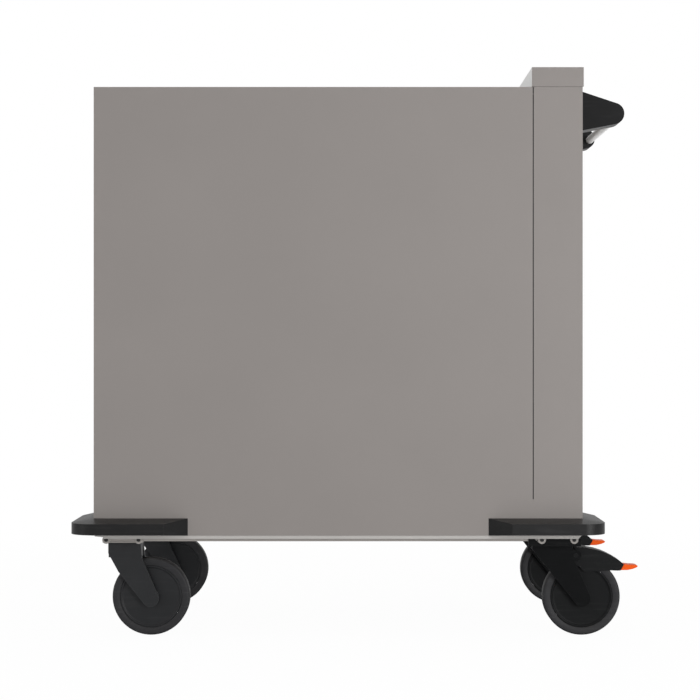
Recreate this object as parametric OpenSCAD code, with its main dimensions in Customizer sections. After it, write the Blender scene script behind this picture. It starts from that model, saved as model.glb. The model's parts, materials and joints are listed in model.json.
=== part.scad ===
// Housekeeping cart: closed sheet-metal body with a tray top, a two-door cupboard,
// a lidded console at the push end, corner bumpers and four swivel casters.
// X runs along the cart with the push handle at +X, Y across it, Z up.
// The origin is on the floor under the middle of the cart's overall box.
// "Near" is the plain closed side at -Y and "far" is the door side at +Y.

/* [Body] */
// Length of the panelled body
body_l = 935; // [900:5:980]
// Width of the body over its side panels
body_w = 550; // [520:5:580]
// Height of the side panels
body_h = 858; // [830:1:880]
// Height of the panels' lower edge above the floor
body_lift = 198; // [198:1:200]
// Thickness of the folded sheet
sheet_t = 1.5; // [1.2:0.1:1.5]
// Width of the double hem along the panels' top edge
hem_h = 12; // [8:1:16]

/* [Worktop and shelves] */
// Depth of the worktop below the rim
rim_h = 20; // [14:1:30]
// Thickness of the worktop board
board_t = 16; // [12:1:18]
// Height of the lower shelf above the floor
lower_shelf_z = 490; // [440:5:520]
// Height of the upper shelf above the floor
upper_shelf_z = 760; // [740:5:800]
// Depth of the shelves' folded edge
shelf_lip = 25; // [18:1:30]

/* [Console] */
// Length of the console between the slit and the push end
console_l = 94.5; // [90:0.5:110]
// Width of the slit in the side panels
slit_w = 2; // [1:0.1:2.4]
// Height of the uncut sheet below the slit
slit_foot = 69.5; // [60:0.5:120]
// Height of the console lid
lid_h = 37.4; // [34:0.2:42]
// Gap between the side panels and the lid
lid_gap = 0.6; // [0.5:0.1:1]
// Overhang of the lid past the push end
lid_over = 2.2; // [2.2:0.1:3]

/* [Doors] */
// Thickness of a door
door_t = 18; // [16:1:20]
// Gap around a door
door_gap = 2; // [2:0.5:3]
// Width of the post between the doors
post_w = 40; // [36:1:50]
// Height of the sill below the doors
sill_h = 46; // [44:1:60]
// Height of the head above the doors
head_h = 44; // [42:1:60]

/* [Bumpers] */
// How far a bumper stands out from the body
bumper_out = 42; // [36:1:42]
// Length of a bumper's leg from the body's corner
bumper_leg = 180; // [170:5:200]

/* [Push handle] */
// Outer radius of the push bar
bar_r = 8.2; // [8:0.1:9]
// Distance between the brackets' outer faces
handle_w = 450; // [420:5:470]
// Thickness of a bracket
bracket_t = 48; // [40:1:50]

/* [Casters] */
// Wheel radius
wheel_r = 75; // [74:0.5:75]
// Distance between wheel planes across the cart
track = 426; // [420:2:430]
// Trail of the wheel behind the swivel axis
trail = 50; // [48:1:52]

/* [Hidden] */
$fn = 64;
plastic_black = [0.13, 0.13, 0.13];
bumper_black = [0.16, 0.16, 0.16];
disc_grey = [0.18, 0.18, 0.18];
tyre_grey = [0.25, 0.25, 0.25];
body_grey = [0.56, 0.54, 0.53];
shelf_grey = [0.62, 0.6, 0.59];
board_grey = [0.82, 0.82, 0.81];
over = 1;
fit_gap = 0.05;
half_w = body_w / 2;
// Reach of a brake pedal's tip from its swivel axis, and that axis' inset
pedal_reach = 160;
push_end_inset = 46;
front_end_inset = 54;
overall_l = bumper_out + body_l + pedal_reach - push_end_inset;
body_left = bumper_out - overall_l / 2;
body_right = body_left + body_l;
body_top = body_lift + body_h;
inner_w = half_w - sheet_t;
panel_play = 0.1;
loose_play = 0.2;

// Slit and console
slit_x = body_right - console_l;
lid_left = slit_x - 2.5;
lid_z = body_top + lid_gap;
lid_end_z = body_top + 2;
lid_top = lid_z + lid_h;
lid_play = 0.3;
partition_x = lid_left;
partition_t = 6.7;
partition_play = 0.7;
upstand_t = 1.2;
upstand_top = lid_z + 6;
upstand_left = partition_x + partition_t + lid_play;
upstand_right = body_right - sheet_t - lid_play;

// Base deck on the two chassis rails
deck_z = 224;
deck_t = 2;
deck_lip_z = 204;
deck_skirt_z = 191.8;
skirt_front = 17;
skirt_front_zs = [194.6, 196.4];
skirt_push_cut = 6.2;
rail_z = 186;
rail_w = 106;
rail_inset = 20;
rail_corner = 3;
caster_y = track / 2;

// Worktop
board_top = body_top - rim_h;
board_z = board_top - board_t;

// Shelves and their bearers
shelf_gap = 2;
bearer_w = 20;
bearer_near = -260;
bearer_far = 240;
shelf_near = -270;
shelf_far = 246;

// Door openings, mirrored about the middle post
opening_z = body_lift + sill_h;
opening_top = body_top - head_h;
stile_w = 28;
opening_left = body_left + stile_w;
post_x = (opening_left + slit_x - stile_w) / 2;
opening_right = post_x - post_w / 2;
opening_w = opening_right - opening_left;
frame_d = 21.5;
door_left = opening_left + door_gap;
door_w = opening_w - 2 * door_gap;
door_z = opening_z + door_gap;
door_h = opening_top - opening_z - 2 * door_gap;
door_back = half_w - door_t;

// Door hinges: barrels outside the gap beside each door
hinge_x = opening_left + door_gap / 2;
hinge_y = half_w + 5;
hinge_l = 60;
hinge_r = 4.6;
hinge_pin_r = 2.5;
hinge_leaf_t = 2;
hinge_leaf_w = 22;
hinge_clear = 5.3;
hinge_tongue_x = 2;
hinge_tongue_y = 0.5;
hinge_play = 0.15;
hinge_screw_at = 12;
hinge_screw_r = 2;
hinge_pin_over = 0.5;
hinge_head_r = 3.5;
hinge_head_t = 1.2;
hinge_end = 90;
hinge_zs = [door_z + hinge_end, door_z + door_h - hinge_end - hinge_l];

// Locks and pulls
lock_inset = 18.5;
lock_x = opening_right - door_gap - lock_inset;
lock_z = 600;
lock_flange_r = 11;
lock_flange_t = 2;
lock_body_r = 8.5;
plug_r = 5;
plug_out = 1.8;
key_slot = [1.2, 2, 6.4];
cam_t = 2.5;
cam_gap = 2;
cam_y = half_w - frame_d - cam_t - cam_gap;
cam_reach = 34;
cam_w = 12;
pull_z = 655;
pull_l = 120;
pull_r = 6;
pull_out = 30;
pull_rose_over = 2;
pull_rose_t = 4;

// Bumper section: heights at the body and at the outer face
bumper_back_top = 231;
bumper_face_z = 203;
bumper_face_top = 224;
bumper_screw_z = 214.5;
bumper_screw_at = [60, 120];
bumper_screw_r = 3;
bumper_screw_l = 20;
screw_head_h = 2.5;

// Push handle in side view
bracket_foot_z = 978;
bracket_head_z = 1056.5;
tip_x = body_right + 66.7;
tip_z = 1012.2;
tip_r = 21;
bar_x = body_right + 76.7;
bar_z = 1010.1;
bar_wall = 1.5;
bar_play = 0.5;
socket_d = 18;
handle_screw_zs = [994, 1040];
handle_screw_r = 3;
handle_screw_l = 25;

// Lid hinge along the push end, just under the lid's skirt
lid_pivot_x = body_right + 3;
lid_pivot_z = lid_end_z - 3;
lid_knuckle_r = 2.6;
lid_pin_r = 1.5;
lid_leaf_t = 1.2;
lid_leaf_h = 20;
lid_tongue = 4;
lid_tongue_up = 2;
lid_hinge_l = 340;
lid_knuckles = 5;
lid_knuckle_l = lid_hinge_l / lid_knuckles;

// Casters
front_x = body_left + front_end_inset;
push_x = body_right - push_end_inset;
plate_z = 183.6;
plate_l = 78;
plate_corner = 4;
ear_x = 31;
ear_r = 7.6;
ear_neck = 5;
ear_z = 189.1;
ear_t = 2.5;
ear_screw_r = 2.4;
ear_screw_l = 9;
ear_head_r = 3.6;
ear_head_t = 2.3;
ear_socket_r = 1.9;
cover_left = -57;
cover_right = 44;
cover_z = 177;
cover_t = 2;
cover_gap = 0.5;
cover_notch = [[-47, 192.8], [-36.9, 183], [-31, 189], [-31, 192.8]];
race_r = 27;
race_z = 180.6;
king_r = 6;
king_z = 157;
king_head_r = 9;
king_head_t = 3;
king_pocket_h = 10;
fork_w = 52;
fork_leg_t = 6.4;
fork_head_l = 62.5;
fork_head_z = 152;
fork_head_top = 180.2;
fork_corner = 6;
fork_shoulder = [[-31.25, 160]];
braked_shoulder = [[-47, 176], [-47, 168.4]];
fork_knee = [-11.5, 124];
fork_hip = [34, 150];
fork_foot_z = 73;
fork_foot_r = 16.5;
axle_r = 6;
axle_cap = 2;
axle_play = 0.5;
core_r = 60;
wheel_facets = 96;

// Half outlines of disc and tyre, as radius and distance from the wheel plane
disc_half = [[17, 17], [20, 11.5], [51, 11.5], [55, 13.6], [core_r, 13.6]];
tyre_half = [[core_r, 15], [wheel_r - 7, 15], [wheel_r - 2, 12], [wheel_r, 7]];

// Brake pedal in side view, from the swivel axis and the floor
pivot_u = 38;
pivot_z = 156;
pivot_ear_r = 11;
trunnion_r = 4;
trunnion_play = 0.5;
pedal_half = 18.9;
pedal_inner_half = 16.3;
pedal_shell_t = 3.5;
pedal_solid_u = 122;
pedal_root = [132, 137.5];
pedal_lip = [125, 125.8];
pedal_hood = [
  [33.5, 164], [36, 168.5], [44, 171], [56, 171], [64, 169], [77, 166.5], [90, 162.5],
  [101, 157.8], [112, 152.1], [122, 146], pedal_root, pedal_lip, [120, 125.6], [107, 126],
  [56, 123.4], [33, 144]
];
pedal_hollow = [[20, 100], [pedal_solid_u, 142]];
pedal_throat = [[20, 110], [pivot_u - 2, 161]];
pedal_cross_bar = [[87, 153.8], [95, 160.5]];
tread_half = 14;
pedal_tread = [
  pedal_lip, [140, 126.1], [150, 128.2], [157, 131], [pedal_reach, 133.2], [158.5, 134.8],
  [155, 135.7], [143, 136.2], pedal_root
];

// Point where the line from p touches the circle about c; side picks which of the two
function touch_point(p, c, r, side) =
  let (d = norm(c - p), a = atan2(c[1] - p[1], c[0] - p[0]) + side * asin(r / d))
  p + sqrt(d * d - r * r) * [cos(a), sin(a)];

// Box from its lowest to its highest corner
module block(low, high) {
  translate(low) cube(high - low);
}

// Cylinder along Y from y0 to y1
module rod_y(x, z, r, y0, y1) {
  translate([x, y0, z]) rotate([-90, 0, 0]) cylinder(r = r, h = y1 - y0);
}

// Cylinder along X from x0 to x1
module rod_x(y, z, r, x0, x1) {
  translate([x0, y, z]) rotate([0, 90, 0]) cylinder(r = r, h = x1 - x0);
}

// Side-view outline drawn as x and z, given a thickness from y0 to y1
module side_plate(y0, y1) {
  translate([0, y1, 0]) rotate([90, 0, 0]) linear_extrude(y1 - y0) children();
}

// Flat plan outline with round corners, centred
module round_rectangle(l, w, r) {
  square([l - 2 * r, w], center = true);
  square([l, w - 2 * r], center = true);
  for (sx = [-1, 1], sy = [-1, 1]) {
    translate([sx * (l / 2 - r), sy * (w / 2 - r)]) circle(r = r);
  }
}

// ---- Chassis and body ----

// End view of a chassis rail: an open channel with rolled lower corners
module rail_outline(w, z, top, r) {
  translate([-w / 2, z + r]) square([w, top - z - r]);
  translate([-w / 2 + r, z]) square([w - 2 * r, r + over]);
  for (s = [-1, 1]) {
    translate([s * (w / 2 - r), z + r]) circle(r = r);
  }
}

module chassis_rail(side) {
  length = body_l - 2 * rail_inset;
  color("dimgray") difference() {
    translate([body_left + rail_inset, side * caster_y, 0])
      rotate([90, 0, 90])
      linear_extrude(length)
      difference() {
        rail_outline(rail_w, rail_z, deck_z, rail_corner);
        rail_outline(rail_w - 2 * sheet_t, rail_z + sheet_t, deck_z + over, rail_corner - sheet_t);
      }
    for (x = [front_x, push_x], s = [-1, 1]) {
      rod_y(x + s * ear_x, ear_z, ear_screw_r + fit_gap,
        side * caster_y - rail_w, side * caster_y + rail_w);
    }
  }
}

// Folded pan whose long skirts show below the side panels and are cut back at their ends
module base_deck() {
  y = inner_w - panel_play;
  left = body_left + sheet_t + panel_play;
  right = body_right - sheet_t - panel_play;
  color("gray") difference() {
    union() {
      block([left, -y, deck_lip_z], [right, y, deck_z + deck_t]);
      side_plate(-y, y) polygon([
        [left, deck_lip_z], [left, skirt_front_zs[1]], [left + skirt_front, skirt_front_zs[0]],
        [left + skirt_front, deck_skirt_z], [right - skirt_push_cut, deck_skirt_z],
        [right, deck_skirt_z + skirt_push_cut], [right, deck_lip_z]
      ]);
    }
    block([left + deck_t, -y + deck_t, deck_skirt_z - over], [right - deck_t, y - deck_t, deck_z]);
    block([left - over, -y + deck_t, deck_skirt_z - over], [right + over, y - deck_t, deck_lip_z]);
    bumper_screw_holes();
  }
}

module near_side_panel() {
  color(body_grey) difference() {
    union() {
      block([body_left, -half_w, body_lift], [body_right, -inner_w, body_top]);
      hem();
      console_upstand();
    }
    slit(-half_w - over);
    bumper_screw_holes();
  }
}

// Top edge of the near side panel folded back on its inner face, between the end panels
module hem() {
  inset = sheet_t + panel_play;
  block([body_left + inset, -inner_w, body_top - hem_h],
    [body_right - inset, sheet_t - inner_w, body_top]);
}

// Rim of the near side panel that rises inside the lid's skirt
module console_upstand() {
  block([upstand_left, sheet_t - inner_w - upstand_t, body_top - hem_h],
    [upstand_right, sheet_t - inner_w, upstand_top]);
}

// Narrow cut in a side panel beside the console, open at the top
module slit(y) {
  block([slit_x - slit_w / 2, y, body_lift + slit_foot],
    [slit_x + slit_w / 2, y + 3 * sheet_t + over, body_top + over]);
}

// Door-side panel with two framed openings and a boxed post between them
module door_side_frame() {
  depth_y = half_w - frame_d;
  color(body_grey) difference() {
    union() {
      block([body_left, inner_w, body_lift], [body_right, half_w, body_top]);
      mirror([0, 1, 0]) hem();
      mirror([0, 1, 0]) console_upstand();
      block([opening_left - sheet_t, depth_y, opening_z - sheet_t],
        [2 * post_x - opening_left + sheet_t, half_w, opening_top + sheet_t]);
    }
    door_opening();
    mirrored_about_post() door_opening();
    block([opening_right + sheet_t, depth_y + sheet_t, opening_z],
      [2 * post_x - opening_right - sheet_t, inner_w, opening_top]);
    slit(inner_w - sheet_t - over);
    bumper_screw_holes();
  }
}

module door_opening() {
  block([opening_left, half_w - frame_d - over, opening_z], [opening_right, half_w + over, opening_top]);
}

module mirrored_about_post() {
  translate([2 * post_x, 0, 0]) mirror([1, 0, 0]) children();
}

module front_end_panel() {
  y = inner_w - panel_play;
  color(body_grey) difference() {
    block([body_left, -y, body_lift], [body_left + sheet_t, y, body_top - panel_play]);
    bumper_screw_holes();
  }
}

module push_end_panel() {
  y = inner_w - panel_play;
  color(body_grey) difference() {
    block([body_right - sheet_t, -y, body_lift], [body_right, y, body_top - panel_play]);
    bumper_screw_holes();
    handle_screw_holes();
  }
}

// Upright board behind the slits, flush with the closed lid and notched round both hems
module console_partition() {
  y = inner_w - partition_play;
  notch = sheet_t + loose_play;
  right = partition_x + partition_t;
  color(board_grey) difference() {
    block([partition_x, -y, deck_z + deck_t], [right, y, lid_top]);
    for (s = [-1, 1]) {
      block([partition_x - over, s * inner_w - notch, body_top - hem_h - over],
        [right + over, s * inner_w + notch, body_top + over]);
    }
  }
}

// Board between the front end panel and the partition
module worktop() {
  y = inner_w - panel_play;
  color(board_grey)
    block([body_left + sheet_t + panel_play, -y, board_z], [partition_x - loose_play, y, board_top]);
}

module shelf(z) {
  left = body_left + sheet_t + shelf_gap;
  right = partition_x - sheet_t - shelf_gap;
  color(shelf_grey) difference() {
    block([left, shelf_near, z - shelf_lip], [right, shelf_far, z]);
    block([left - over, shelf_near + sheet_t, z - shelf_lip - over],
      [right + over, shelf_far - sheet_t, z - sheet_t]);
  }
}

// Angle strips that carry the two shelves and the worktop at both ends
module shelf_bearers() {
  left = body_left + sheet_t;
  for (z = [lower_shelf_z - sheet_t, upper_shelf_z - sheet_t, board_z]) {
    color("silver") bearer(left, z, 1);
    color("silver") bearer(partition_x, z, -1);
  }
}

module bearer(x, z, side) {
  translate([x, 0, 0]) mirror([side < 0 ? 1 : 0, 0, 0]) union() {
    block([0, bearer_near, z - sheet_t], [bearer_w, bearer_far, z]);
    block([0, bearer_near, z - bearer_w], [sheet_t, bearer_far, z]);
  }
}

// ---- Bumpers ----

// Section of a bumper leg as distance from the body, signed by s, and height
function bumper_section(s) = [
  [0, body_lift], [s * bumper_out, bumper_face_z],
  [s * bumper_out, bumper_face_top], [0, bumper_back_top]
];

// Bumper for a corner whose body lies towards +X and +Y
module corner_bumper() {
  tall = body_lift;
  reach = 3 * bumper_out;
  color(bumper_black) difference() {
    union() {
      rotate([90, 0, 90]) linear_extrude(bumper_leg) polygon(bumper_section(-1));
      translate([0, bumper_leg, 0]) rotate([90, 0, 0])
        linear_extrude(bumper_leg) polygon(bumper_section(-1));
      rotate([0, 0, 180]) rotate_extrude(angle = 90) polygon(bumper_section(1));
    }
    translate([bumper_leg, 0, 0]) rotate([0, 0, -45])
      block([0, -reach, tall - over], [reach, reach, 2 * tall]);
    translate([0, bumper_leg, 0]) rotate([0, 0, 135])
      block([0, -reach, tall - over], [reach, reach, 2 * tall]);
    for (at = bumper_screw_at) {
      rod_y(at, bumper_screw_z, bumper_screw_r, -bumper_screw_l, 1);
      rod_x(at, bumper_screw_z, bumper_screw_r, -bumper_screw_l, 1);
    }
  }
}

// Places what is drawn for the near front corner at all four corners
module at_corners() {
  at_near_front() children();
  at_near_push() children();
  at_far_front() children();
  at_far_push() children();
}

module at_near_front() {
  translate([body_left, -half_w, 0]) children();
}

module at_near_push() {
  translate([body_right, -half_w, 0]) mirror([1, 0, 0]) children();
}

module at_far_front() {
  translate([body_left, half_w, 0]) mirror([0, 1, 0]) children();
}

module at_far_push() {
  translate([body_right, half_w, 0]) rotate([0, 0, 180]) children();
}

module bumper_screw_holes() {
  at_corners() for (at = bumper_screw_at) {
    rod_y(at, bumper_screw_z, bumper_screw_r, -1, 3 * deck_t);
    rod_x(at, bumper_screw_z, bumper_screw_r, -1, 3 * deck_t);
  }
}

// Screws driven from inside through lip and panel into the bumpers
module bumper_screws() {
  seat = sheet_t + panel_play + deck_t;
  shank_r = bumper_screw_r - fit_gap;
  at_corners() for (at = bumper_screw_at) {
    rod_y(at, bumper_screw_z, shank_r, 1 - bumper_screw_l, seat + over);
    rod_y(at, bumper_screw_z, 2 * shank_r, seat, seat + screw_head_h);
    rod_x(at, bumper_screw_z, shank_r, 1 - bumper_screw_l, seat + over);
    rod_x(at, bumper_screw_z, 2 * shank_r, seat, seat + screw_head_h);
  }
}

// ---- Push handle ----

// Side view of a bracket: a wedge with a round tip
module bracket_outline() {
  foot = [body_right, bracket_foot_z];
  head = [body_right, bracket_head_z];
  tip = [tip_x, tip_z];
  polygon([foot, touch_point(foot, tip, tip_r, -1), touch_point(head, tip, tip_r, 1), head]);
  translate(tip) circle(r = tip_r);
}

// Bracket on the near side; the far one is its mirror image
module handle_bracket() {
  outer = -handle_w / 2;
  inner = outer + bracket_t;
  middle = (outer + inner) / 2;
  color(plastic_black) difference() {
    side_plate(outer, inner) bracket_outline();
    rod_y(bar_x, bar_z, bar_r + fit_gap, inner - socket_d, inner + over);
    for (z = handle_screw_zs) {
      rod_x(middle, z, handle_screw_r, body_right - over, body_right + handle_screw_l + over);
    }
  }
}

module push_bar() {
  end = handle_w / 2 - bracket_t + socket_d - bar_play;
  color([0.8, 0.8, 0.8]) difference() {
    rod_y(bar_x, bar_z, bar_r, -end, end);
    rod_y(bar_x, bar_z, bar_r - bar_wall, -end - over, end + over);
  }
}

module handle_screw_holes() {
  for (s = [-1, 1], z = handle_screw_zs) {
    rod_x(s * (handle_w - bracket_t) / 2, z, handle_screw_r, body_right - 2 * sheet_t, body_right + over);
  }
}

// Screws driven from inside the console through the end panel into the brackets
module handle_screws() {
  shank_r = handle_screw_r - fit_gap;
  seat = body_right - sheet_t;
  for (s = [-1, 1], z = handle_screw_zs) {
    rod_x(s * (handle_w - bracket_t) / 2, z, shank_r, seat - over, body_right + handle_screw_l);
    rod_x(s * (handle_w - bracket_t) / 2, z, 2 * shank_r, seat - screw_head_h, seat);
  }
}

// All screws of one size: those of the bumpers and those of the push handle
module body_screws() {
  color("silver") {
    bumper_screws();
    handle_screws();
  }
}

// ---- Console lid and its hinge ----

// Folded cap, open below and towards the worktop, that closes against the partition's edge
module console_lid() {
  right = body_right + lid_over;
  color([0.57, 0.55, 0.54]) difference() {
    block([lid_left, -half_w, lid_z], [right, half_w, lid_top]);
    block([lid_left - over, -inner_w, lid_z - over], [right - sheet_t, inner_w, lid_top - sheet_t]);
    block([lid_left - over, -inner_w, lid_z - over], [upstand_left, inner_w, lid_top + over]);
    block([upstand_left, -inner_w, lid_z - over], [right + over, inner_w, lid_end_z]);
  }
}

// Row of knuckles along the lid's hinge, from the first given, every second one
module lid_knuckle_row(first) {
  for (i = [first : 2 : lid_knuckles - 1]) {
    y = -lid_hinge_l / 2 + i * lid_knuckle_l;
    rod_y(lid_pivot_x, lid_pivot_z, lid_knuckle_r, y + loose_play, y + lid_knuckle_l - loose_play);
  }
}

module lid_hinge_leaf() {
  color("silver") difference() {
    union() {
      lid_knuckle_row(0);
      for (i = [0 : 2 : lid_knuckles - 1]) {
        y = -lid_hinge_l / 2 + i * lid_knuckle_l;
        block([body_right, y + loose_play, lid_pivot_z - lid_tongue],
          [body_right + lid_leaf_t, y + lid_knuckle_l - loose_play, lid_pivot_z]);
      }
      block([body_right, -lid_hinge_l / 2, lid_pivot_z - lid_leaf_h],
        [body_right + lid_leaf_t, lid_hinge_l / 2, lid_pivot_z - lid_tongue]);
    }
    rod_y(lid_pivot_x, lid_pivot_z, lid_pin_r + fit_gap, -lid_hinge_l, lid_hinge_l);
  }
}

module lid_hinge_flap() {
  face = body_right + lid_over;
  color("silver") difference() {
    union() {
      lid_knuckle_row(1);
      for (i = [1 : 2 : lid_knuckles - 1]) {
        y = -lid_hinge_l / 2 + i * lid_knuckle_l;
        block([face, y + loose_play, lid_pivot_z],
          [face + lid_leaf_t, y + lid_knuckle_l - loose_play, lid_end_z + lid_tongue_up]);
      }
      block([face, -lid_hinge_l / 2, lid_end_z + over],
        [face + lid_leaf_t, lid_hinge_l / 2, lid_end_z + lid_leaf_h]);
    }
    rod_y(lid_pivot_x, lid_pivot_z, lid_pin_r + fit_gap, -lid_hinge_l, lid_hinge_l);
  }
}

module lid_hinge_pin() {
  rod_y(lid_pivot_x, lid_pivot_z, lid_pin_r, -lid_hinge_l / 2, lid_hinge_l / 2);
}

// ---- Doors, drawn for the front one and mirrored for the other ----

module door_pan() {
  color(body_grey) difference() {
    block([door_left, door_back, door_z], [door_left + door_w, half_w, door_z + door_h]);
    block([door_left + sheet_t, door_back - over, door_z + sheet_t],
      [door_left + door_w - sheet_t, inner_w, door_z + door_h - sheet_t]);
    rod_y(lock_x, lock_z, lock_body_r + fit_gap, door_back, half_w + over);
  }
}

// Leaf plate and tongues of one hinge half; side is -1 on the frame and 1 on the door
module hinge_half(side, knuckles) {
  third = hinge_l / 3;
  for (z = hinge_zs) {
    color("silver") difference() {
      union() {
        translate([hinge_x, 0, z]) mirror([side < 0 ? 1 : 0, 0, 0])
          block([hinge_clear, half_w, 0], [hinge_clear + hinge_leaf_w, half_w + hinge_leaf_t, hinge_l]);
        for (i = knuckles) {
          translate([hinge_x, hinge_y, z + i * third + hinge_play])
            cylinder(r = hinge_r, h = third - 2 * hinge_play);
          translate([hinge_x, 0, z + i * third + hinge_play]) mirror([side < 0 ? 1 : 0, 0, 0])
            block([hinge_tongue_x, half_w + hinge_tongue_y, 0],
              [hinge_clear + over, half_w + hinge_leaf_t, third - 2 * hinge_play]);
        }
      }
      translate([hinge_x, hinge_y, z - over])
        cylinder(r = hinge_pin_r + fit_gap, h = hinge_l + 2 * over);
      for (at = [hinge_screw_at, hinge_l - hinge_screw_at]) {
        rod_y(hinge_x + side * (hinge_clear + hinge_screw_at), z + at, hinge_screw_r,
          half_w + over, half_w + hinge_leaf_t + over);
      }
    }
  }
}

// Fixed leaves of the four door hinges and of the lid's long hinge
module hinge_leaves() {
  hinge_half(-1, [0, 2]);
  mirrored_about_post() hinge_half(-1, [0, 2]);
  lid_hinge_leaf();
}

module door_hinge_pin_pair() {
  for (z = hinge_zs) {
    translate([hinge_x, hinge_y, z - hinge_pin_over])
      cylinder(r = hinge_pin_r, h = hinge_l + 2 * hinge_pin_over);
    translate([hinge_x, hinge_y, z + hinge_l + loose_play])
      cylinder(r = hinge_head_r, h = hinge_head_t);
  }
}

// Pins of the four door hinges and of the lid's long hinge
module hinge_pins() {
  color("silver") {
    door_hinge_pin_pair();
    mirrored_about_post() door_hinge_pin_pair();
    lid_hinge_pin();
  }
}

// Bow pull with two legs and a round grip
module door_pull() {
  out = half_w + pull_out;
  color(plastic_black) union() {
    translate([lock_x, out, pull_z]) cylinder(r = pull_r, h = pull_l);
    for (z = [pull_z, pull_z + pull_l]) {
      rod_y(lock_x, z, pull_r, half_w, out);
      translate([lock_x, out, z]) sphere(r = pull_r);
      rod_y(lock_x, z, pull_r + pull_rose_over, half_w, half_w + pull_rose_t);
    }
  }
}

module lock_barrel() {
  color("silver") difference() {
    union() {
      rod_y(lock_x, lock_z, lock_body_r, door_back + over, half_w + over);
      rod_y(lock_x, lock_z, lock_flange_r, half_w, half_w + lock_flange_t);
    }
    rod_y(lock_x, lock_z, plug_r + fit_gap, door_back, half_w + lock_flange_t + over);
  }
}

// Lock plug with its key slot and the cam plate that swings behind the post
module lock_cam() {
  color("silver") difference() {
    union() {
      rod_y(lock_x, lock_z, plug_r, cam_y, half_w + plug_out);
      block([lock_x - cam_w / 2, cam_y, lock_z], [lock_x + cam_w / 2, cam_y + cam_t,
        lock_z + cam_reach - cam_w / 2]);
      rod_y(lock_x, lock_z + cam_reach - cam_w / 2, cam_w / 2, cam_y, cam_y + cam_t);
      rod_y(lock_x, lock_z, cam_w / 2 + over, cam_y, cam_y + cam_t);
    }
    translate([lock_x, half_w + plug_out, lock_z])
      cube([key_slot[0], 2 * key_slot[1], key_slot[2]], center = true);
  }
}

// ---- Casters, drawn about the swivel axis and the floor ----

module at_caster(x, side) {
  translate([x, side * caster_y, 0]) children();
}

// Saddle plate with ears beside the rail, ball-race ring and riveted king pin
module caster_plate() {
  half = rail_w / 2;
  color("silver") difference() {
    union() {
      translate([0, 0, plate_z]) linear_extrude(rail_z - plate_z)
        round_rectangle(plate_l, rail_w, plate_corner);
      for (sx = [-1, 1]) {
        block([sx * ear_x - ear_neck, -half - ear_t, plate_z],
          [sx * ear_x + ear_neck, half + ear_t, rail_z]);
        rod_y(sx * ear_x, ear_z, ear_r, half, half + ear_t);
        rod_y(sx * ear_x, ear_z, ear_r, -half - ear_t, -half);
      }
      translate([0, 0, race_z]) cylinder(r = race_r, h = plate_z - race_z + over);
      translate([0, 0, king_z]) cylinder(r = king_r, h = rail_z - king_z);
      translate([0, 0, king_z]) cylinder(r = king_head_r, h = king_head_t);
    }
    for (sx = [-1, 1]) {
      rod_y(sx * ear_x, ear_z, ear_screw_r + fit_gap, -rail_w, rail_w);
    }
  }
}

// Moulded covers over the plate's edge beside the braked casters, notched round the ears
module caster_covers() {
  face = rail_w / 2 + panel_play;
  for (side = [-1, 1], sy = [-1, 1]) {
    color(plastic_black) at_caster(push_x, side) mirror([0, sy < 0 ? 1 : 0, 0]) difference() {
      block([cover_left, face, cover_z], [cover_right, face + cover_t, deck_skirt_z]);
      for (sx = [-1, 1]) {
        rod_y(sx * ear_x, ear_z, ear_r + cover_gap, face - over, face + cover_t + over);
      }
      side_plate(face - over, face + cover_t + over) polygon(cover_notch);
    }
  }
}

// Cap screws with a driver socket, through the ears into the rails
module caster_screws() {
  half = rail_w / 2 + ear_t;
  for (x = [front_x, push_x], side = [-1, 1]) {
    at_caster(x, side) for (sx = [-1, 1], sy = [-1, 1]) {
      color("silver") mirror([0, sy < 0 ? 1 : 0, 0]) difference() {
        union() {
          rod_y(sx * ear_x, ear_z, ear_screw_r, half - ear_screw_l, half + over);
          rod_y(sx * ear_x, ear_z, ear_head_r, half, half + ear_head_t);
        }
        rod_y(sx * ear_x, ear_z, ear_socket_r, half + over, half + ear_head_t + over);
      }
    }
  }
}

// Side view of a fork leg, from the head to the round end at the axle
module fork_leg_outline(shoulder) {
  foot = [trail, fork_foot_z];
  leg_r = fork_foot_r - loose_play;
  polygon(concat([[-fork_head_l / 2, fork_head_top]], shoulder, [
    fork_knee, touch_point(fork_knee, foot, leg_r, -1), foot,
    touch_point(fork_hip, foot, leg_r, 1), fork_hip, [fork_head_l / 2, fork_head_top]
  ]));
  translate(foot) circle(r = fork_foot_r);
}

// Fork with two legs; a braked one has wider shoulders and ears for the pedal's pivot
module caster_fork(braked) {
  color([0.2, 0.2, 0.2]) difference() {
    union() {
      translate([0, 0, fork_head_z]) linear_extrude(fork_head_top - fork_head_z)
        round_rectangle(fork_head_l, fork_w, fork_corner);
      for (y = [-fork_w / 2, fork_w / 2 - fork_leg_t]) {
        side_plate(y, y + fork_leg_t)
          fork_leg_outline(braked ? braked_shoulder : fork_shoulder);
        if (braked) {
          side_plate(y, y + fork_leg_t) translate([pivot_u, pivot_z]) circle(r = pivot_ear_r);
        }
      }
    }
    translate([0, 0, fork_head_z - over]) cylinder(r = king_r + fit_gap, h = fork_w);
    translate([0, 0, fork_head_z - over]) cylinder(r = king_head_r + over, h = king_pocket_h);
    rod_y(trail, wheel_r, axle_r + fit_gap, axle_cap - fork_w / 2, fork_w / 2 + over);
    if (braked) {
      rod_y(pivot_u, pivot_z, trunnion_r + fit_gap, -fork_w, -pedal_inner_half);
      rod_y(pivot_u, pivot_z, trunnion_r + fit_gap, pedal_inner_half, fork_w);
    }
  }
}

module axle() {
  low = axle_cap + axle_play - fork_w / 2;
  color("silver") rod_y(trail, wheel_r, axle_r, low, fork_w / 2 - axle_play);
}

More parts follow.
